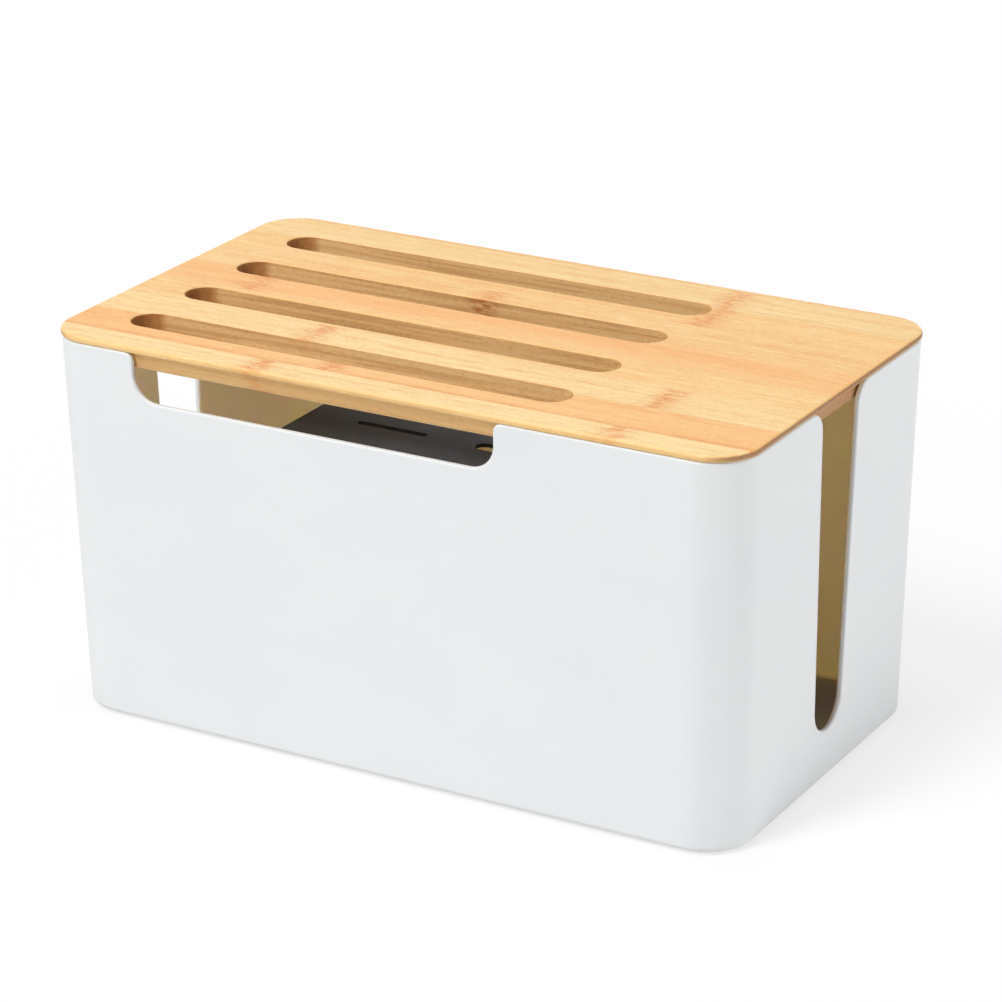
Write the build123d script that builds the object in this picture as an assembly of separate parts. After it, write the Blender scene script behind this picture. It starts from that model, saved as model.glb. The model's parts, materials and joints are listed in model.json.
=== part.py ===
from build123d import *
import math
import os

# Moulded box, lengths in millimetres and angles in degrees
box_length = 320.0  # over the rim, along X
box_width = 185.0  # over the rim, along Y
shell_height = 166.6  # underside of the floor to the rim
corner_radius = 20.8  # upright corners
end_draft = 1.09  # lean of the two end walls
side_draft = 1.54  # lean of the front and back walls
wall = 2.5
floor_thickness = 3.0
base_edge_radius = 2.4  # outside, where the walls meet the floor
floor_edge_radius = 2.0  # inside, where the walls meet the floor
rim_edge_radius = 1.0  # rim and cut edges, inside and outside

# Front cut-out, open at the rim
cutout_left_margin = 44.5  # left end of the box to the cut-out
cutout_right_margin = 106.1  # cut-out to the right end of the box
cutout_depth = 20.6
cutout_corner_radius = 11.0
cutout_rim_radius = 4.0

# Cable slot in each end wall, open at the rim
slot_sill = 22.0  # lowest point above the underside of the floor
slot_bottom_radius = 12.3
slot_taper = 1.9  # each side leans out by this angle
slot_rim_radius = 9.5

# Bamboo lid, glued up from staves that run along X
flange_thickness = 3.0
tongue_height = 7.2
tongue_clearance = 0.6  # tongue to the inside of the rim
tongue_chamfer = 0.8
lid_corner_radius = 19.4  # in plan
lid_edge_radius = 1.4  # along the top
lid_under_radius = 0.9  # along the underside
vent_count = 4
vent_left_margin = 23.9  # left end of the lid to its slots
vent_right_margin = 89.0  # slots to the right end of the lid
vent_width = 17.8
vent_chamfer = 0.4
vent_pitch_share = 0.2162  # of the lid's width
# Glue lines from the front edge, as shares of the lid's width
joint_shares = (0.0714, 0.2011, 0.3286, 0.4605, 0.5903, 0.72, 0.8497, 0.9795)

# Black shelf plate that lies on ribs of the box
shelf_length = 180.0
shelf_thickness = 1.8
shelf_top = 116.0  # above the underside of the floor
shelf_clearance = 0.8  # plate to the front and back walls
shelf_corner_radius = 4.0
shelf_edge_radius = 0.3
tie_slot_length = 34.2
tie_slot_width = 3.8
tie_slot_place = 48.1  # middle of each slot from the middle of the plate
finger_slot_length = 14.0
finger_slot_width = 7.6

# Ribs on the front and back walls that carry the shelf
rib_pitch = 124.0  # between the two ribs of a wall
rib_thickness = 3.0
rib_depth = 7.0  # inside the wall, at the height of the shelf
lug_depth = 3.0  # part of the rib that stands up through the plate's notch
lug_height = 8.0  # above the plate's underside
notch_clearance = 0.5

# Rubber foot pads
foot_diameter = 14.0
foot_stand = 1.0  # pad below the floor
foot_pocket_depth = 1.2
foot_pocket_clearance = 0.2
foot_inset = 24.0  # pad's centre from the edges of the floor
foot_chamfer = 0.4

overrun = 5.0  # how far cutters pass the faces that they cut
square_tolerance = 0.0001  # how far from square a cut face's normal may be

end_lean = math.tan(math.radians(end_draft))
side_lean = math.tan(math.radians(side_draft))
rim_z = foot_stand + shell_height
half_length = box_length / 2
half_width = box_width / 2
cutout_width = box_length - cutout_left_margin - cutout_right_margin
cutout_offset = (cutout_left_margin - cutout_right_margin) / 2  # its middle along X
vent_length = box_length - vent_left_margin - vent_right_margin
vent_offset = (vent_left_margin - vent_right_margin) / 2  # middle of the slots along X
vent_pitch = vent_pitch_share * box_width


def wall_half_length(height):
    return half_length - (shell_height - height) * end_lean


def wall_half_width(height):
    return half_width - (shell_height - height) * side_lean


def drafted_block(low, high, inset):
    # Block with leaning walls between two heights above the underside, drawn in by inset
    spans = []
    for half in (wall_half_length, wall_half_width):
        foot = half(low) - inset
        head = half(high) - inset
        outline = Polyline((-foot, low), (foot, low), (head, high), (-head, high), close=True)
        spans.append(make_face(outline))
    lengthwise = extrude(Plane.XZ * spans[0], box_width, both=True)
    crosswise = extrude(Plane.YZ * spans[1], box_length, both=True)
    block = lengthwise & crosswise
    uprights = block.edges().filter_by(Axis.X, reverse=True).filter_by(Axis.Y, reverse=True)
    return Pos(0, 0, foot_stand) * fillet(uprights, corner_radius - inset)


def notch_face(sill, flat_half_width, bottom_radius, taper, rim_radius):
    # Notch open at the rim: flat or round bottom, leaning sides and rounded rim corners.
    # Heights are above the underside of the floor.
    lean = math.radians(taper)
    arc_centre = sill + bottom_radius
    foot = (
        flat_half_width + bottom_radius * math.cos(lean),
        arc_centre - bottom_radius * math.sin(lean),
    )
    rise = shell_height - rim_radius * (1 - math.sin(lean)) - foot[1]
    head = (foot[0] + rise * math.tan(lean), foot[1] + rise)
    corner = (head[0] + rim_radius * math.cos(lean), shell_height - rim_radius)
    right = [
        CenterArc((flat_half_width, arc_centre), bottom_radius, -90, 90 - taper),
        Line(foot, head),
        CenterArc(corner, rim_radius, 180 - taper, taper - 90),
        Line((corner[0], shell_height), (corner[0], shell_height + overrun)),
        Line((corner[0], shell_height + overrun), (0, shell_height + overrun)),
    ]
    if flat_half_width > 0:
        right.append(Line((0, sill), (flat_half_width, sill)))
    left = [mirror(edge, Plane.YZ) for edge in right]
    return make_face(right + left)


def wall_cutter(face, out, half, lean, sideways):
    # Carries a notch outline out through the wall that stands half away from the box's middle
    across = Vector(0, 0, 1).cross(out)
    reach = wall + shell_height * lean + overrun
    start = out * (half - reach) + across * sideways + Vector(0, 0, foot_stand)
    return extrude(Plane(start, across, out) * face, reach + overrun)


def cut_edges(shell):
    # Edges of the rim and of the notches' cut faces, where they meet the skins of the walls
    band = wall + shell_height * max(end_lean, side_lean)
    faces = []
    for face in shell.faces():
        middle = face.center()
        normal = face.normal_at(middle)
        level = normal.Z > 1 - square_tolerance and middle.Z > rim_z - wall
        front = abs(normal.Y) < square_tolerance and middle.Y < band - half_width
        end = abs(normal.X) < square_tolerance and abs(middle.X) > half_length - band
        if level or front or end:
            faces.append(face)
    edges = [edge for face in faces for edge in face.edges()]
    return [edge for edge in edges if sum(edge.is_same(other) for other in edges) == 1]


def shelf_ribs():
    # Two ribs on each long wall: a ledge under the plate and a lug through its notch
    seat = shelf_top - shelf_thickness
    inside = wall_half_width(seat) - wall
    ribs = []
    for side in (-1, 1):
        for place in (-rib_pitch / 2, rib_pitch / 2):
            for depth, height in ((rib_depth, seat), (lug_depth, seat + lug_height)):
                span = depth + wall
                block = Box(rib_thickness, span, height, align=(Align.CENTER, Align.MIN, Align.MIN))
                start = inside - depth if side > 0 else -inside - wall
                ribs.append(Pos(place, start, foot_stand) * block)
    return ribs


def foot_places():
    across = wall_half_length(0) - foot_inset
    deep = wall_half_width(0) - foot_inset
    return {
        "front_left": Pos(-across, -deep, 0),
        "front_right": Pos(across, -deep, 0),
        "back_left": Pos(-across, deep, 0),
        "back_right": Pos(across, deep, 0),
    }


def foot_pad():
    height = foot_stand + foot_pocket_depth
    pad = Cylinder(foot_diameter / 2, height, align=(Align.CENTER, Align.CENTER, Align.MIN))
    return chamfer(pad.edges().group_by(Axis.Z)[0], foot_chamfer)


def foot_pocket():
    radius = foot_diameter / 2 + foot_pocket_clearance
    height = foot_stand + foot_pocket_depth
    return Cylinder(radius, height, align=(Align.CENTER, Align.CENTER, Align.MIN))


def box_shell():
    outer = drafted_block(0, shell_height, 0)
    outer = fillet(outer.edges().group_by(Axis.Z)[0], base_edge_radius)
    cavity = drafted_block(floor_thickness, shell_height + overrun, wall)
    cavity = fillet(cavity.edges().group_by(Axis.Z)[0], floor_edge_radius)

    cutout = notch_face(
        shell_height - cutout_depth,
        cutout_width / 2 - cutout_corner_radius,
        cutout_corner_radius,
        0,
        cutout_rim_radius,
    )
    slot = notch_face(slot_sill, 0, slot_bottom_radius, slot_taper, slot_rim_radius)
    shell = outer - cavity
    shell -= wall_cutter(cutout, Vector(0, -1, 0), half_width, side_lean, cutout_offset)
    for way in (-1, 1):
        shell -= wall_cutter(slot, Vector(way, 0, 0), half_length, end_lean, 0)
    shell = fillet(cut_edges(shell), rim_edge_radius)

    for rib in shelf_ribs():
        shell += rib & outer
    for place in foot_places().values():
        shell -= place * foot_pocket()
    return shell


def lid_board():
    # The whole board before it is parted into staves
    set_in = wall + tongue_clearance
    flange = RectangleRounded(box_length, box_width, lid_corner_radius)
    flange = extrude(flange, flange_thickness)
    flange = fillet(flange.edges().group_by(Axis.Z)[-1], lid_edge_radius)
    flange = fillet(flange.edges().group_by(Axis.Z)[0], lid_under_radius)
    tongue_length = box_length - 2 * set_in
    tongue_width = box_width - 2 * set_in
    tongue = RectangleRounded(tongue_length, tongue_width, corner_radius - set_in)
    tongue = extrude(tongue, -tongue_height)
    tongue = chamfer(tongue.edges().group_by(Axis.Z)[0], tongue_chamfer)
    board = flange + tongue
    for index in range(vent_count):
        place = Pos(vent_offset, (index - (vent_count - 1) / 2) * vent_pitch, 0)
        board -= place * lid_vent()
    return Pos(0, 0, rim_z) * board


def lid_vent():
    # Long slot with round ends through the lid, with a small chamfer at the top
    height = tongue_height + flange_thickness + 2 * overrun
    straight = extrude(SlotOverall(vent_length, vent_width), height)
    mouth = SlotOverall(vent_length + 2 * vent_chamfer, vent_width + 2 * vent_chamfer)
    eased = extrude(mouth, -vent_chamfer, taper=45)
    return Pos(0, 0, -tongue_height - overrun) * straight + Pos(0, 0, flange_thickness) * eased


def stave_joints():
    # Front edge, glue lines and back edge of the lid, along Y
    lines = [share * box_width - half_width for share in joint_shares]
    return [-half_width] + lines + [half_width]


def lid_staves():
    board = lid_board()
    height = tongue_height + flange_thickness
    joints = stave_joints()
    staves = []
    for front, back in zip(joints, joints[1:]):
        slab = Box(box_length, back - front, height, align=(Align.CENTER, Align.MIN, Align.MIN))
        staves.append(board & (Pos(0, front, rim_z - tongue_height) * slab))
    return staves


def inner_shelf():
    seat = shelf_top - shelf_thickness
    depth = 2 * (wall_half_width(seat) - wall - shelf_clearance)
    outline = RectangleRounded(shelf_length, depth, shelf_corner_radius)
    outline -= SlotOverall(finger_slot_length, finger_slot_width)
    notch_depth = lug_depth + notch_clearance - shelf_clearance
    for way in (-1, 1):
        outline -= Pos(way * tie_slot_place, 0) * SlotOverall(tie_slot_length, tie_slot_width)
        for place in (-rib_pitch / 2, rib_pitch / 2):
            notch = Rectangle(rib_thickness + 2 * notch_clearance, 2 * notch_depth)
            outline -= Pos(place, way * depth / 2) * notch
    plate = extrude(outline, shelf_thickness)
    plate = fillet(plate.edges().group_by(Axis.Z)[-1], shelf_edge_radius)
    return Pos(0, 0, foot_stand + seat) * plate


os.makedirs("parts", exist_ok=True)
export_step(box_shell(), "parts/box_shell.step")
export_step(inner_shelf(), "parts/inner_shelf.step")
for number, stave in enumerate(lid_staves(), start=1):
    export_step(stave, f"parts/lid_stave_{number}.step")
for name, place in foot_places().items():
    export_step(place * foot_pad(), f"parts/foot_pad_{name}.step")
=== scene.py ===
import json
import math

import bpy
from mathutils import Matrix, Vector


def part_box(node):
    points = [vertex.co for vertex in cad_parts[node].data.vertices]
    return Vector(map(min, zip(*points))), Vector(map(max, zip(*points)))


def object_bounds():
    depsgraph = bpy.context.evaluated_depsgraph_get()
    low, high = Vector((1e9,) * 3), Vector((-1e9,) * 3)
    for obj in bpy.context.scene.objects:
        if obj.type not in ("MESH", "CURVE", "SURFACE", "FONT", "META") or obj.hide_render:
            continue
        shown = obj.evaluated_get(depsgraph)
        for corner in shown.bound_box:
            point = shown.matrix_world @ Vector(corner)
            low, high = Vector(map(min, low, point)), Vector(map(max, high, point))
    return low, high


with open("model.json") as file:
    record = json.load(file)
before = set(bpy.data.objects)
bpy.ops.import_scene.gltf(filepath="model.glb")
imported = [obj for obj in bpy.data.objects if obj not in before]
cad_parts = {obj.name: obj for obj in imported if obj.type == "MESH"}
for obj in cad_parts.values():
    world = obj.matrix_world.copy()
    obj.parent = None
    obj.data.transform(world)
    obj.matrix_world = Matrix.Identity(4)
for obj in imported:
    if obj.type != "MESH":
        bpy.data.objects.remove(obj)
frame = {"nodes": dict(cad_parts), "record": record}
nodes = frame["nodes"]
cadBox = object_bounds()
scene = bpy.context.scene
print("frame loaded with", len(nodes), "nodes")

# Places that the finishes go by, in mm
perMetre = 1000
halfLength, halfWidth = (perMetre * cadBox[1][axis] for axis in (0, 1))
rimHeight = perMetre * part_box("box_shell")[1][2]
openings = {opening["name"]: opening for opening in frame["record"]["physics"]["openings"]}
slotStart = perMetre * openings["lid_slot_1"]["box_m"][0][0]  # left ends of the lid's slots


# A socket of a shader tree: sums on it add Math nodes
class Wire:
    def __init__(self, tree, socket=None):
        self.tree = tree
        self.socket = socket

    # Any node: its type, its settings, then the values or links of its sockets
    def node(self, kind, settings, sockets, out=0):
        made = self.tree.nodes.new("ShaderNode" + kind)
        for name, value in settings.items():
            setattr(made, name, value)
        for name, value in sockets.items():
            if isinstance(value, Wire):
                self.tree.links.new(value.socket, made.inputs[name])
            else:
                made.inputs[name].default_value = value
        return Wire(self.tree, made.outputs[out] if made.outputs else None)

    def also(self, out):  # another output of the same node
        return Wire(self.tree, self.socket.node.outputs[out])

    def parts(self):  # X, Y and Z of a vector
        x = self.node("SeparateXYZ", {}, {0: self})
        return x, x.also(1), x.also(2)

    def sum(self, operation, first, second=0.0):
        return self.node("Math", {"operation": operation}, {0: first, 1: second})

    def __add__(self, other):
        return self.sum("ADD", self, other)

    def __radd__(self, other):
        return self.sum("ADD", other, self)

    def __sub__(self, other):
        return self.sum("SUBTRACT", self, other)

    def __rsub__(self, other):
        return self.sum("SUBTRACT", other, self)

    def __mul__(self, other):
        return self.sum("MULTIPLY", self, other)

    def __rmul__(self, other):
        return self.sum("MULTIPLY", other, self)

    def __abs__(self):
        return self.sum("ABSOLUTE", self)

    def most(self, other):  # the greater of the two
        return self.sum("MAXIMUM", self, other)

    def step(self, start, end):  # 0 on the side of start, 1 on the side of end, smooth between
        if end < start:
            return 1.0 - self.step(end, start)
        return self.node(
            "MapRange",
            {"interpolation_type": "SMOOTHSTEP"},
            {"Value": self, "From Min": start, "From Max": end},
        )

    def bell(self, width):  # exp(-(value / width)^2): 1 at 0, near 0 past twice the width
        share = self * (1 / width)
        return self.sum("EXPONENT", -1.0 * share * share)

    def between(self, low, high):  # low at 0, high at 1
        return low + (high - low) * self

    def mixed(self, first, second):  # colour that goes from first to second with this share
        return self.node("Mix", {"data_type": "RGBA"}, {0: self, 6: first, 7: second}, out=2)

    def scaled(self, scale, shift=(0, 0, 0)):  # coordinates times scale plus shift
        return self.node(
            "VectorMath", {"operation": "MULTIPLY_ADD"}, {0: self, 1: scale, 2: shift}
        )

    def noise(self, scale, octaves, roughness=0.5, shift=(0, 0, 0)):
        return self.node(
            "TexNoise",
            {},
            {
                "Vector": self.scaled(scale, shift),
                "Scale": 1.0,
                "Detail": octaves,
                "Roughness": roughness,
            },
        )

    def bump(self, strength, depth):  # normal of a surface with this height
        return self.node("Bump", {}, {"Strength": strength, "Distance": depth, "Height": self})


def newTree(name):
    material = bpy.data.materials.new(name)
    material.use_nodes = True
    material.node_tree.nodes.clear()
    return material, Wire(material.node_tree)


def principled(wire, sockets):
    return wire.node("BsdfPrincipled", {}, sockets)


def show(shader, output="OutputMaterial"):
    shader.node(output, {}, {"Surface": shader})


def surface(wire, sockets):
    show(principled(wire, sockets))


def placeAndFacing(wire):  # where a point is, in mm, and which way its face looks
    facing = wire.node("TexCoord", {}, {}, out="Normal")
    return facing.also("Object").scaled([perMetre] * 3), facing


def linear(colour):  # screen colour, 0 to 255, as scene light by the sRGB curve
    shares = [c / 255 for c in colour]
    return [s / 12.92 if s <= 0.04045 else ((s + 0.055) / 1.055) ** 2.4 for s in shares] + [1.0]


def total(wires):
    return sum(wires[1:], wires[0])


def movedBy(base, limits):
    return [base + limit for limit in limits]


def dress(material, *names):
    for name in names:
        nodes[name].data.materials.clear()
        nodes[name].data.materials.append(material)


# Moulded shell: white plastic with a fine spark-eroded grain, opaque outside.
# Its inside is translucent and gets some warm light through the walls; its paler, warmer colour
# there is painted warm light.
shellFinish = {
    "outside": (222, 224, 225),
    "outsideCloud": (219, 221, 223),  # faint tone of the mould's flow
    # The inside colours are paler and warmer than the outside ones: painted warm light on the
    # inner faces.
    "inside": (255, 235, 229),
    "insideCloud": (252, 232, 226),
    "cloud": (0.018, 0.018, 0.03),  # clouds per mm along X, Y and Z
    "cloudEdge": (0.35, 0.7),
    "cloudShare": 0.6,
    "grain": 0.35,  # width of the grain in mm
    "ripple": (0.06, 0.06, 0.02),  # soft waves per mm of the walls
    "rippleShift": (5, 5, 5),
    "rippleShare": 2.5,  # their height, against the grain's
    "reliefDepth": 0.00006,  # in m
    "reliefStrength": 0.25,
    "roughness": (0.41, 0.51),  # in the hollows and on the tops of the grain
    "cloudRoughness": 0.05,
    "gloss": 0.4,
    "glowDepth": 0.0076,  # how far red light goes in the wall, in m
    "glowShares": (1.0, 0.67, 0.31),  # red, green and blue
    "endWalls": (125, 135),  # distance from the middle at which the end walls begin, in mm
    "floorSlope": (0.5, 0.9),
    "floorTop": (16, 8),  # height in mm below which a level face is the floor's
    "outerFaces": (-11, -3),  # how far a face looks away from the middle, in mm
}


def shellMaterial(finish):
    material, wire = newTree("moulded_white")
    at, facing = placeAndFacing(wire)
    x, y, z = at.parts()
    facingX, facingY, facingZ = facing.parts()
    cloud = at.noise(finish["cloud"], octaves=3.0).step(*finish["cloudEdge"])
    pits = at.noise([1 / finish["grain"]] * 3, octaves=2.0, roughness=0.6)
    ripple = at.noise(finish["ripple"], octaves=1.0, shift=finish["rippleShift"])
    height = pits + finish["rippleShare"] * ripple
    both = {
        "Roughness": pits.between(*finish["roughness"]) + finish["cloudRoughness"] * cloud,
        "Normal": height.bump(finish["reliefStrength"], finish["reliefDepth"]),
        "Specular IOR Level": finish["gloss"],
    }
    flow = finish["cloudShare"] * cloud
    outsideColour = flow.mixed(linear(finish["outside"]), linear(finish["outsideCloud"]))
    insidePaintedWarmColour = flow.mixed(linear(finish["inside"]), linear(finish["insideCloud"]))
    glow = {
        "Subsurface Weight": 1.0,
        "Subsurface Radius": finish["glowShares"],
        "Subsurface Scale": finish["glowDepth"],
    }
    outer = principled(wire, {"Base Color": outsideColour, **both})
    innerPaintedWarm = principled(wire, {"Base Color": insidePaintedWarmColour, **glow, **both})

    # Outer faces look away from the box's middle. The floor's top and the end slots'
    # cut faces, which look across the slot, count as inside and take its painted warm light.
    away = facingX * x * abs(x).step(*finish["endWalls"]) + facingY * y
    floorTop = facingZ.step(*finish["floorSlope"]) * z.step(*finish["floorTop"])
    outerShare = away.step(*finish["outerFaces"]) * (1.0 - floorTop)
    show(wire.node("MixShader", {}, {0: outerShare, 1: innerPaintedWarm, 2: outer}))
    return material


dress(shellMaterial(shellFinish), "box_shell")
print("shell dressed")


# Bamboo: one board, its staves each cut from another culm
bamboo = {
    "straw": (234, 212, 158),  # palest fibres
    "resin": (209, 137, 69),  # deepest fibres
    "fleck": (161, 93, 41),  # bundles that show as short dashes
    "knuckle": (213, 137, 74),
    # The side tone is also painted shade on the tongue's lower part.
    "side": (168, 116, 68),  # faces cut across the bundles
    "routed": (244, 191, 127),  # walls of the slots
    # The edge tone is also painted shade on the rounded upper edges.
    "edge": (228, 174, 102),  # front and back edges
    "scar": (172, 88, 30),  # torn fibres at a knuckle in a slot
    "endPale": (192, 126, 66),  # end grain in the slots, between and in the bundles
    "endDark": (144, 83, 31),
    "capPale": (170, 126, 84),  # end grain at the lid's ends
    "capDark": (104, 58, 22),
    "roughness": (0.37, 0.51),  # in the hollows and on the tops of the fibres
    "dashRoughness": 0.12,
    "endRoughness": 0.12,
    "gloss": 0.4,
    "reliefDepth": 0.00012,  # in m
    "reliefStrength": 0.35,
    "reliefShares": {"fine": 0.6, "hair": 0.5, "dash": -0.7, "line": -1.2, "torn": 0.6},
    # Noises: waves per mm along X, Y and Z, octaves, roughness
    "noises": {
        "wander": ((0.012, 0.09, 0.09), 1.0, 0.5),
        "waver": ((0.0, 0.17, 0.17), 2.0, 0.5),
        "swirl": ((0.22, 0.22, 0.22), 1.0, 0.5),
        "broad": ((0.006, 0.13, 0.13), 2.0, 0.5),
        "fine": ((0.016, 0.62, 0.62), 3.0, 0.6),
        "cloud": ((0.065, 0.34, 0.34), 3.0, 0.62),
        "mottle": ((0.32, 0.9, 0.9), 2.0, 0.6),
        "hair": ((0.13, 2.9, 2.9), 2.0, 0.6),
        "dash": ((0.07, 1.8, 1.8), 1.0, 0.5),
        "pores": ((0.75, 0.9, 0.9), 2.0, 0.65),
        "feather": ((0.2, 0.6, 0.6), 4.0, 0.68),
        "speck": ((0.5, 1.5, 1.5), 3.0, 0.65),
        "layer": ((0.011, 0.5, 0.5), 2.0, 0.55),
        "torn": ((0.4, 1.1, 1.1), 3.0, 0.65),
        "rags": ((0.16, 0.7, 0.7), 3.0, 0.6),
        "hatch": ((0.6, 0.6, 0.3), 3.0, 0.65),
        "plies": ((0.9, 0.3, 1.5), 3.0, 0.7),
    },
    "seedStep": (17.3, 5.9, 11.1),  # how far the noises move on from stave to stave
    "turned": ("cloud", "dash", "pores"),  # noises that take the seed the other way round
    # Tints laid one over the other: noise, where it starts and is full, share, colour
    "boldTints": (  # as strong as the stave's contrast
        ("broad", 0.3, 0.72, 0.45, "straw"),
        ("fine", 0.42, 0.8, 0.28, "resin"),
        ("cloud", 0.5, 0.76, 0.3, "resin"),
        ("cloud", 0.5, 0.26, 0.4, "straw"),
    ),
    "evenTints": (  # the same on every stave
        ("mottle", 0.4, 0.76, 0.2, "resin"),
        ("pores", 0.46, 0.74, 0.2, "resin"),
        ("pores", 0.5, 0.3, 0.24, "straw"),
        ("hair", 0.42, 0.82, 0.2, "resin"),
    ),
    "wallTints": (  # on the slots' walls
        ("layer", 0.46, 0.62, 0.36, "side"),
        ("layer", 0.5, 0.34, 0.3, "straw"),
        ("torn", 0.5, 0.7, 0.26, "side"),
        ("torn", 0.5, 0.32, 0.24, "straw"),
    ),
    "dashEdge": (0.6, 0.72),
    "dashShare": 0.12,
    "wander": 2.0,  # how far the fibres wander, in mm
    # Knuckles: sizes in mm, then shares of their tints
    "knuckleWidth": 6.0,
    "knuckleWaver": 9.0,  # how far the band strays from its place
    "knuckleTurn": 3.5,  # how far it turns the fibres aside
    "featherEdge": (0.38, 0.6),
    "featherShare": (0.18, 0.96),
    "speckEdge": (0.5, 0.64),
    "speckShares": {"fleck": 0.45, "straw": 0.3},
    # Streaks: fade at their ends in mm, breaks along them
    "streakFade": 18,
    "streakEdge": (0.36, 0.62),
    "streakBreaks": (0.25, 1.2),
    "streakMottle": (0.4, 1.2),
    "glueLine": (0.22, 0.05),  # distance from a joint in mm
    "glueShare": 0.22,
    # Faces: slopes as the facing's Z or X, places in mm
    "upright": (0.8, 0.3),
    # The rounded upper edges' tint is painted shade that tones down their highlight.
    "eased": ((0.3, 0.7), (0.99, 0.93)),  # rounded upper edges
    "easedShare": 0.3,
    "rim": (-14.5, -6.5),  # from the front and back edges
    "rimShare": 0.5,
    "rimRagged": 0.4,  # share of the walls' tints there
    "cap": (-15, -10),  # from the ends
    # This mask, low, darkens the tongue's lower part and the slots' depth as painted shade.
    "tongue": (-1.6, -6.6),  # from the shell's rim
    "flange": (0.6, 1.6),
    "routedShare": 0.75,
    "scarWidth": 8.0,
    "scarEdge": (0.42, 0.6),
    "scarShare": 0.85,
    # End grain
    # The slots' left ends and faces that look right take the full end-grain colour, faces that
    # look left less: painted shade.
    "slotLeftEndsPaintedShade": (2.0, -3.5),  # from the slots' left ends
    "endSlope": (0.1, 0.85),
    "leftShare": 0.4,  # of faces that look left
    "slotShare": 0.2,  # of the slots' other ends
    "endShare": 0.85,
    "hatchEdge": (0.36, 0.66),
    "plyEdge": (0.4, 0.62),
    "bundles": (0.0, 1.1, 1.1),  # per mm
    "bundleEdge": (0.42, 0.12),
    # The dark from depth is painted shade down in the slots.
    "slotMix": (0.2, 0.4, 0.4),  # dark from bundles, hatch and depth
    "lidMix": (0.25, 0.3, 0.45),  # dark from bundles, plies and flange
}
# Tone, contrast of the grain, knuckles and scars along X,
# streaks as (Y, half width, from X, to X, share), all in mm
staves = {
    1: {
        "tone": (229, 203, 145),
        "contrast": 1.0,
        "knuckles": (-57.6, 104.0),
        "streaks": ((-84.5, 0.8, -200, 40, 0.3),),
    },
    2: {
        "tone": (227, 170, 104),
        "contrast": 0.62,
        "knuckles": (-29.9,),
        "streaks": ((-78.2, 0.9, -200, 200, 0.75), (-59.0, 1.6, 75, 200, 0.25)),
    },
    3: {
        "tone": (228, 196, 136),
        "contrast": 1.1,
        "knuckles": (-57.6, 105.0),
        "streaks": (
            (-41.5, 1.3, -30, 85, 0.45),
            (-46.0, 0.7, 95, 200, 0.4),
            (-36.0, 0.6, -200, -80, 0.3),
        ),
    },
    4: {
        "tone": (227, 183, 117),
        "contrast": 1.0,
        "streaks": (
            (-15.5, 1.6, -200, -128, 0.5),
            (-24.5, 1.2, -200, -120, 0.45),
            (-21.0, 0.8, 80, 200, 0.4),
        ),
    },
    5: {
        "tone": (227, 170, 105),
        "contrast": 0.65,
        "knuckles": (-115.0,),
        "streaks": ((-1.0, 1.5, -200, -118, 0.45), (9.5, 1.0, 40, 200, 0.3)),
    },
    6: {
        "tone": (225, 180, 115),
        "contrast": 0.95,
        "knuckles": (-19.0,),
        "scars": (-20.0,),
        "streaks": (
            (32.5, 1.1, 70, 200, 0.5),
            (25.0, 0.7, 78, 200, 0.4),
            (37.5, 0.8, -200, -30, 0.3),
        ),
    },
    7: {
        "tone": (226, 181, 114),
        "contrast": 0.8,
        "knuckles": (74.5,),
        "streaks": ((47.0, 1.0, -120, 60, 0.3),),
    },
    8: {
        "tone": (225, 192, 131),
        "contrast": 0.95,
        "knuckles": (73.0,),
        "streaks": ((84.5, 0.9, -200, 70, 0.3), (77.0, 0.7, -60, 60, 0.25)),
    },
    9: {"tone": (222, 179, 121), "contrast": 0.8},
}


def jointsOf(name):  # Y of a stave's glued faces in mm, without the lid's own edges
    sides = [perMetre * corner[1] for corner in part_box(name)]
    return [side for side in sides if halfWidth - abs(side) > 1]  # past 1 mm from an edge


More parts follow.
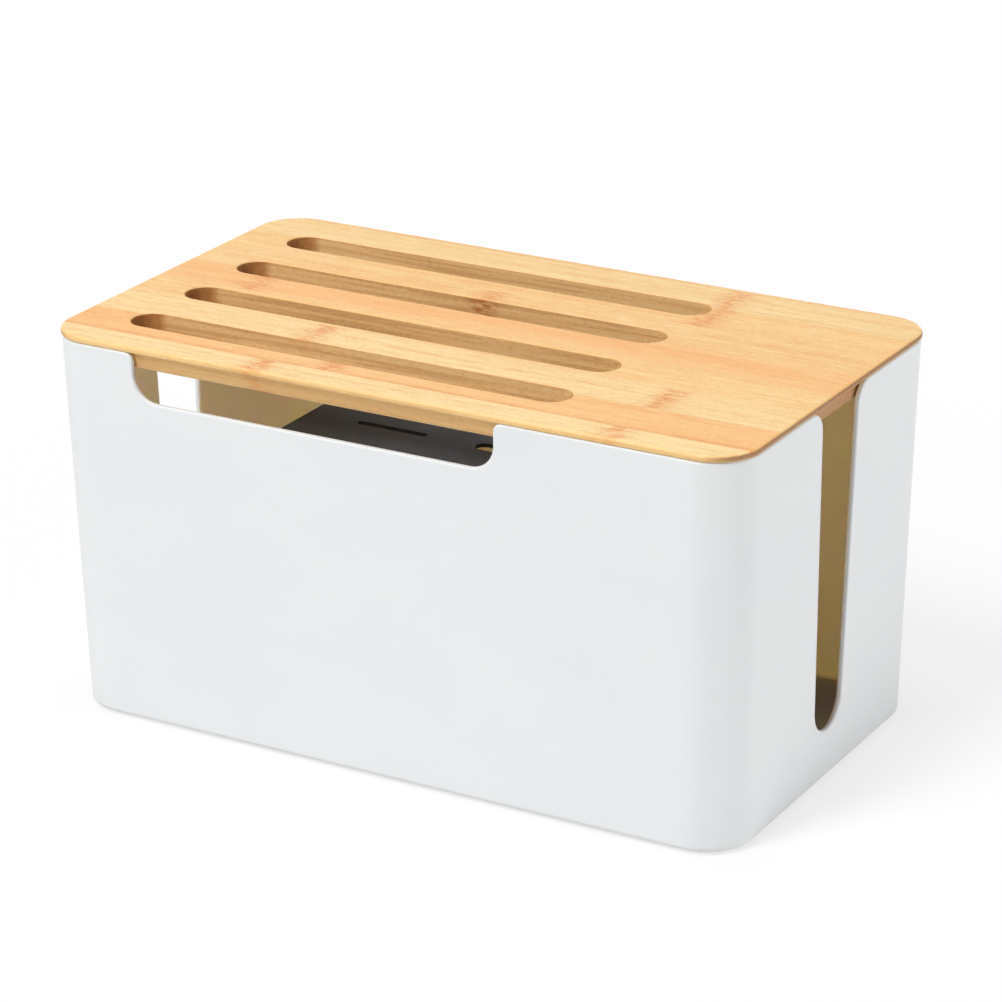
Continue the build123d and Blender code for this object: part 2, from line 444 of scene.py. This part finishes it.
def staveMaterial(number, stave, joints, finish):
    material, wire = newTree(f"bamboo_{number}")
    at, facing = placeAndFacing(wire)
    x, y, z = at.parts()
    facingX, _, facingZ = facing.parts()
    seed = [number * step for step in finish["seedStep"]]
    tones = {name: linear(finish[name]) for name in ("straw", "resin", "fleck", "knuckle", "side")}

    def noise(name, place):
        scale, octaves, roughness = finish["noises"][name]
        shift = seed[::-1] if name in finish["turned"] else seed
        return place.noise(scale, octaves, roughness, shift)

    def tinted(colour, tints, noises, strength):
        for name, start, full, share, tone in tints:
            mask = share * strength * noises[name].step(start, full)
            colour = mask.mixed(colour, tones[tone])
        return colour

    # Fibres run along X and wander a little; at a knuckle, a bell-shaped band, they turn aside
    across = y + finish["wander"] * (noise("wander", at) - 0.5)
    knuckles = stave.get("knuckles", ())
    if knuckles:
        stray = finish["knuckleWaver"] * (noise("waver", at) - 0.5)
        band = total([(x - place + stray).bell(finish["knuckleWidth"]) for place in knuckles])
        across = across + finish["knuckleTurn"] * band * (noise("swirl", at) - 0.5)
    along = x.node("CombineXYZ", {}, {0: x, 1: across, 2: z})
    fibres = {
        name: noise(name, along)
        for name in ("broad", "fine", "cloud", "mottle", "hair", "pores")
    }
    dash = noise("dash", along).step(*finish["dashEdge"])

    colour = tinted(linear(stave["tone"]), finish["boldTints"], fibres, stave["contrast"])
    colour = tinted(colour, finish["evenTints"], fibres, 1.0)
    colour = (finish["dashShare"] * dash).mixed(colour, tones["fleck"])
    fade = finish["streakFade"]
    for place, width, start, end, share in stave.get("streaks", ()):
        reach = x.step(start - fade, start + fade) * x.step(end + fade, end - fade)
        broken = fibres["cloud"].step(*finish["streakEdge"]).between(*finish["streakBreaks"])
        mottled = fibres["mottle"].between(*finish["streakMottle"])
        mask = (across - place).bell(width) * reach * broken * mottled
        colour = (share * mask).mixed(colour, tones["resin"])
    if knuckles:
        feather = noise("feather", along).step(*finish["featherEdge"])
        speck = noise("speck", along).step(*finish["speckEdge"])
        shares = finish["speckShares"]
        colour = (band * feather.between(*finish["featherShare"])).mixed(colour, tones["knuckle"])
        colour = (shares["fleck"] * band * speck * feather).mixed(colour, tones["fleck"])
        colour = (shares["straw"] * band * speck * (1.0 - feather)).mixed(colour, tones["straw"])

    # Glue lines
    line = total([abs(y - joint).step(*finish["glueLine"]) for joint in joints])
    colour = (finish["glueShare"] * line).mixed(colour, tones["fleck"])

    # Upright faces: the lid's rim, and the slots' routed walls with layers of torn fibres
    upright = abs(facingZ).step(*finish["upright"])
    rim = abs(y).step(*movedBy(halfWidth, finish["rim"]))
    cap = abs(x).step(*movedBy(halfLength, finish["cap"]))
    low = z.step(*movedBy(rimHeight, finish["tongue"]))
    routed = upright * (1.0 - rim.most(cap))
    edge = finish["rimShare"] * upright * rim
    colour = edge.mixed(colour, linear(finish["edge"]))
    # Painted shade: the tongue's lower part takes the side tone, as if shaded by the flange.
    colour = (edge * low).mixed(colour, tones["side"])
    # Painted shade: rounded upper edges take some of the edge tone, toning down their highlight.
    rising, falling = finish["eased"]
    eased = facingZ.step(*rising) * facingZ.step(*falling)
    colour = (finish["easedShare"] * eased).mixed(colour, linear(finish["edge"]))
    colour = (finish["routedShare"] * routed).mixed(colour, linear(finish["routed"]))
    walls = {name: noise(name, at) for name in ("layer", "torn")}
    ragged = routed + finish["rimRagged"] * upright * rim
    colour = tinted(colour, finish["wallTints"], walls, ragged)
    for place in stave.get("scars", ()):
        rags = noise("rags", at).step(*finish["scarEdge"])
        mask = (x - place).bell(finish["scarWidth"]) * routed * rags
        colour = (finish["scarShare"] * mask).mixed(colour, linear(finish["scar"]))

    # End grain: soft and darker downwards in the slots' ends, plies of bundles at the lid's ends.
    # The darkening downwards is painted shade, and so is the fuller end-grain colour on the slots'
    # left ends and on faces that look right than on faces that look left.
    slotLeftEndsPaintedShade = routed * x.step(*movedBy(slotStart, finish["slotLeftEndsPaintedShade"]))
    right, left = (way.step(*finish["endSlope"]) for way in (facingX, -1.0 * facingX))
    endGrainFacesAndPaintedShade = right.most(finish["leftShare"] * left)
    ends = slotLeftEndsPaintedShade.most(endGrainFacesAndPaintedShade * cap.between(finish["slotShare"], 1.0) * upright)
    bundles = at.scaled(finish["bundles"], seed)
    cells = wire.node("TexVoronoi", {}, {"Vector": bundles, "Scale": 1.0})
    dots = cells.step(*finish["bundleEdge"])
    hatch = noise("hatch", at).step(*finish["hatchEdge"])
    plies = noise("plies", at).step(*finish["plyEdge"])
    flange = z.step(*movedBy(rimHeight, finish["flange"]))
    slotDark = total([s * w for s, w in zip(finish["slotMix"], (dots, hatch, low))])
    lidDark = total([s * w for s, w in zip(finish["lidMix"], (dots, plies, flange))])
    slotEnd = slotDark.mixed(linear(finish["endPale"]), linear(finish["endDark"]))
    lidEnd = lidDark.mixed(linear(finish["capPale"]), linear(finish["capDark"]))
    colour = (finish["endShare"] * ends).mixed(colour, cap.mixed(slotEnd, lidEnd))

    heights = {
        "fine": fibres["fine"],
        "hair": fibres["hair"],
        "dash": dash,
        "line": line,
        "torn": upright * walls["torn"],
    }
    height = total([share * heights[name] for name, share in finish["reliefShares"].items()])
    worn = finish["dashRoughness"] * dash + finish["endRoughness"] * ends
    surface(
        wire,
        {
            "Base Color": colour,
            "Roughness": fibres["fine"].between(*finish["roughness"]) + worn,
            "Normal": height.bump(finish["reliefStrength"], finish["reliefDepth"]),
            "Specular IOR Level": finish["gloss"],
        },
    )
    return material


for number, stave in staves.items():
    name = f"lid_stave_{number}"
    dress(staveMaterial(number, stave, jointsOf(name), bamboo), name)
print("lid dressed")


# Shelf: black powder coat with a fine orange peel
shelfFinish = {
    "colour": (46, 47, 49),
    "dust": (82, 88, 96),
    # The near black on its slots' walls and its edges is painted shade.
    "cut": (16, 16, 17),  # walls of its slots and its edges
    "cutSlope": (0.6, 0.2),
    "cutPaintedShadeShare": 0.9,
    "peel": 0.9,  # width of the peel in mm
    "dustSize": 20,  # width of its clouds in mm
    "dustEdge": (0.3, 0.75),
    # The dust's thickening towards the middle, which leaves the plate's ends darker, is painted
    # shade.
    "dustReach": (85, 25),  # distance from the middle over which it thickens, in mm
    "dustEnds": 0.1,  # share at the plate's ends
    "dustMiddle": (0.35, 0.75),  # shares added by the middle
    "reliefDepth": 0.0001,  # in m
    "reliefStrength": 0.3,
    "roughness": (0.44, 0.56),
    "dustRoughness": 0.08,
    "gloss": 0.35,
}


def shelfMaterial(finish):
    material, wire = newTree("black_powder_coat")
    at, facing = placeAndFacing(wire)
    peel = at.noise([1 / finish["peel"]] * 3, octaves=2.0, roughness=0.55)
    haze = at.noise([1 / finish["dustSize"]] * 3, octaves=4.0, roughness=0.6)
    dust = haze.step(*finish["dustEdge"])
    # The dust clouds are dust; their thickening towards the middle, which leaves the plate's ends
    # darker, is painted shade.
    inwardPaintedShade = abs(at.parts()[0]).step(*finish["dustReach"])
    dustAndPaintedShade = finish["dustEnds"] * dust + inwardPaintedShade * dust.between(*finish["dustMiddle"])
    colour = dustAndPaintedShade.mixed(linear(finish["colour"]), linear(finish["dust"]))
    # Painted shade: faces that look sideways, the slots' walls and the edges, are darkened.
    cut = finish["cutPaintedShadeShare"] * abs(facing.parts()[2]).step(*finish["cutSlope"])
    surface(
        wire,
        {
            "Base Color": cut.mixed(colour, linear(finish["cut"])),
            "Roughness": peel.between(*finish["roughness"]) + finish["dustRoughness"] * dust,
            "Normal": peel.bump(finish["reliefStrength"], finish["reliefDepth"]),
            "Specular IOR Level": finish["gloss"],
        },
    )
    return material


dress(shelfMaterial(shelfFinish), "inner_shelf")
print("shelf dressed")


# Foot pads: dull grey rubber
footFinish = {
    "colour": (92, 92, 94),
    "speck": (70, 70, 72),
    "speckShare": 0.4,
    "grain": (3.0, 3.0, 3.0),  # per mm
    "reliefDepth": 0.0001,  # in m
    "reliefStrength": 0.3,
    "roughness": (0.725, 0.875),
}


def footMaterial(finish):
    material, wire = newTree("foot_rubber_grey")
    at, _ = placeAndFacing(wire)
    grain = at.noise(finish["grain"], octaves=3.0, roughness=0.6)
    specks = finish["speckShare"] * grain
    surface(
        wire,
        {
            "Base Color": specks.mixed(linear(finish["colour"]), linear(finish["speck"])),
            "Roughness": grain.between(*finish["roughness"]),
            "Normal": grain.bump(finish["reliefStrength"], finish["reliefDepth"]),
        },
    )
    return material


dress(footMaterial(footFinish), *[name for name in nodes if name.startswith("foot_pad_")])
print("foot pads dressed")


# Floor and lights
studio = {
    "floorSize": 14.0,
    "floorColour": (0.8, 0.8, 0.8, 1.0),
    "floorNear": 0.7,  # share of plain white that the camera sees in the floor, by the object
    "floorFade": (0.1, 0.55),  # distances from the middle over which it goes to all white, in m
    "skyLight": 0.32,
    "white": (1, 1, 1, 1),
    "lampAim": (0, 0, 0.09),  # in m
}
lamps = {  # place in m, width and height in m, power in W
    "key": {"place": (-1.01, -2.79, 4.12), "size": (1.5, 3.0), "watts": 212.0},
    "top": {"place": (0.0, 0.0, 2.6), "size": (0.6, 0.6), "watts": 15.0},
    "fill": {"place": (1.64, 0.45, 0.16), "size": (1.2, 0.25), "watts": 9.6},
    "back": {"place": (-0.8, 1.75, 0.085), "size": (1.6, 0.15), "watts": 5.5},
}


def seenWhite(wire):  # 1 for rays that see the background straight, mirrored or through glass
    ray = wire.node("LightPath", {}, {}, out="Is Camera Ray")
    return ray.most(ray.also("Is Glossy Ray")).most(ray.also("Is Transmission Ray"))


def makeFloor(setting):
    half = setting["floorSize"] / 2
    mesh = bpy.data.meshes.new("floor")
    corners = [(-half, -half, 0), (half, -half, 0), (half, half, 0), (-half, half, 0)]
    mesh.from_pydata(corners, [], [(0, 1, 2, 3)])
    floor = bpy.data.objects.new("floor", mesh)
    scene.collection.objects.link(floor)
    material, wire = newTree("pale_floor")
    paint = wire.node("BsdfDiffuse", {}, {"Color": setting["floorColour"]})
    plain = wire.node("Emission", {}, {"Color": setting["white"], "Strength": 1.0})
    place = wire.node("TexCoord", {}, {}, out="Object")
    reach = wire.node("VectorMath", {"operation": "LENGTH"}, {0: place}, out="Value")
    share = reach.step(*setting["floorFade"]).between(setting["floorNear"], 1.0)
    show(wire.node("MixShader", {}, {0: seenWhite(wire) * share, 1: paint, 2: plain}))
    mesh.materials.append(material)


def makeWorld(setting):
    world = bpy.data.worlds.new("studio")
    scene.world = world
    world.use_nodes = True
    world.node_tree.nodes.clear()
    wire = Wire(world.node_tree)
    light = wire.node(
        "Background", {}, {"Color": setting["white"], "Strength": setting["skyLight"]}
    )
    plain = wire.node("Background", {}, {"Color": setting["white"], "Strength": 1.0})
    show(wire.node("MixShader", {}, {0: seenWhite(wire), 1: light, 2: plain}), "OutputWorld")


def makeLamp(name, lamp, aim):
    data = bpy.data.lights.new(name, "AREA")
    data.shape = "ELLIPSE"
    data.size, data.size_y = lamp["size"]
    data.energy = lamp["watts"]
    made = bpy.data.objects.new(name, data)
    scene.collection.objects.link(made)
    made.location = lamp["place"]
    made.rotation_euler = (Vector(aim) - made.location).to_track_quat("-Z", "Y").to_euler()
    made.visible_camera = False


makeFloor(studio)
makeWorld(studio)
for name, lamp in lamps.items():
    makeLamp(name, lamp, studio["lampAim"])
print("stage and lights set")


# Camera at the photograph's viewing angle
view = {
    "aim": (-0.0121, 0.02921, 0.08069),  # point on the optical axis, in m
    "yaw": 29.859,  # degrees round from straight ahead
    "pitch": 21.48,  # degrees down
    "roll": -0.425,
    "distance": 1.6575,  # in m
    "lens": 138.96,  # in mm
    "sensor": 36.0,
}


def makeCamera(view):
    yaw, pitch, roll = (math.radians(view[k]) for k in ("yaw", "pitch", "roll"))
    back = Vector(
        (math.sin(yaw) * math.cos(pitch), -math.cos(yaw) * math.cos(pitch), math.sin(pitch))
    )
    level = Vector((math.cos(yaw), math.sin(yaw), 0))
    upright = back.cross(level)
    right = math.cos(roll) * level + math.sin(roll) * upright
    up = math.cos(roll) * upright - math.sin(roll) * level
    data = bpy.data.cameras.new("photo_view")
    data.lens = view["lens"]
    data.sensor_width = view["sensor"]
    made = bpy.data.objects.new("photo_view", data)
    scene.collection.objects.link(made)
    turn = Matrix((right, up, back)).transposed().to_4x4()
    made.matrix_world = Matrix.Translation(Vector(view["aim"]) + view["distance"] * back) @ turn
    scene.camera = made


makeCamera(view)
scene.view_settings.view_transform = "Standard"
print("camera set")
